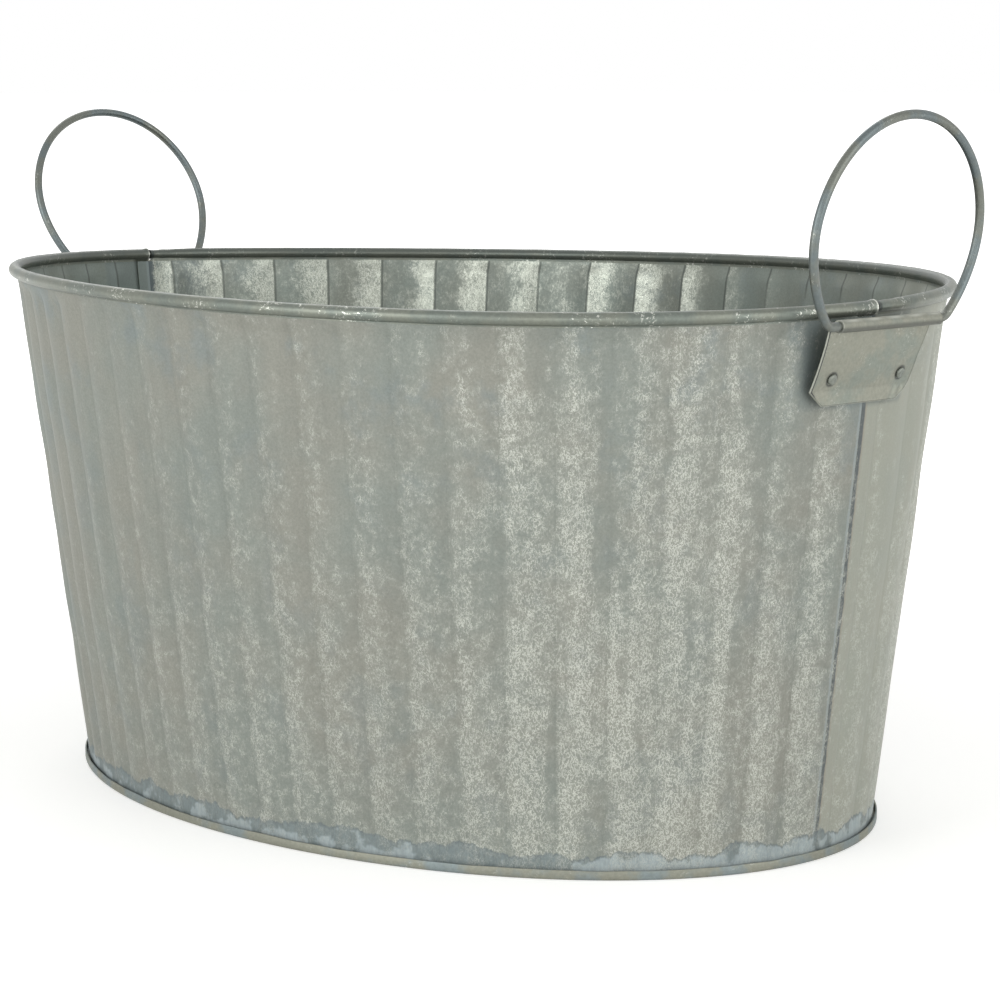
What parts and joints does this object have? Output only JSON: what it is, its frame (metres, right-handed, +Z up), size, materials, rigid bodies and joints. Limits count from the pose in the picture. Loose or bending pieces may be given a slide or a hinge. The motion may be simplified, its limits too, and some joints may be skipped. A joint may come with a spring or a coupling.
{
  "type": "oval metal tub with hinged wire handles",
  "caption": "Oval tapered tub in zinc-coated sheet with a fluted wall, a wired rim, a flat base and a hinged wire loop handle at each end.",
  "frame": {"origin": "centre of the base's underside, on the floor", "axes": "+X along the tub's length to the right-hand lug, +Y across it to the back panel, +Z up"},
  "size_m": [0.4447, 0.3066, 0.257],
  "materials": {
    "wall_sheet": "dull zinc coating with fine spangle and pale flecks",
    "base_sheet": "dull zinc coating with a blue-grey wash at the edge",
    "lug_sheet": "smooth dull zinc coating",
    "rivet": "dull zinc coating, hammered",
    "wire": "smooth dark zinc coating"
  },
  "bodies": {
    "tub": {"front_wall": "wall_sheet", "back_wall": "wall_sheet", "rim_wire": "wire", "floor_pan": "base_sheet", "right_lug": "lug_sheet", "left_lug": "lug_sheet", "right_rivets": "rivet", "left_rivets": "rivet"},
    "right_handle": {"right_handle": "wire"},
    "left_handle": {"left_handle": "wire"}
  },
  "joints": [
    {"name": "right_handle_hinge", "type": "hinge", "parent": "tub", "child": "right_handle", "pos_m": [0.2037, 0, 0.1871], "axis": [0, 1, 0], "range_deg": [-52.2, 180.2]},
    {"name": "left_handle_hinge", "type": "hinge", "parent": "tub", "child": "left_handle", "pos_m": [-0.2037, 0, 0.1871], "axis": [0, -1, 0], "range_deg": [-64.6, 167.8]}
  ]
}
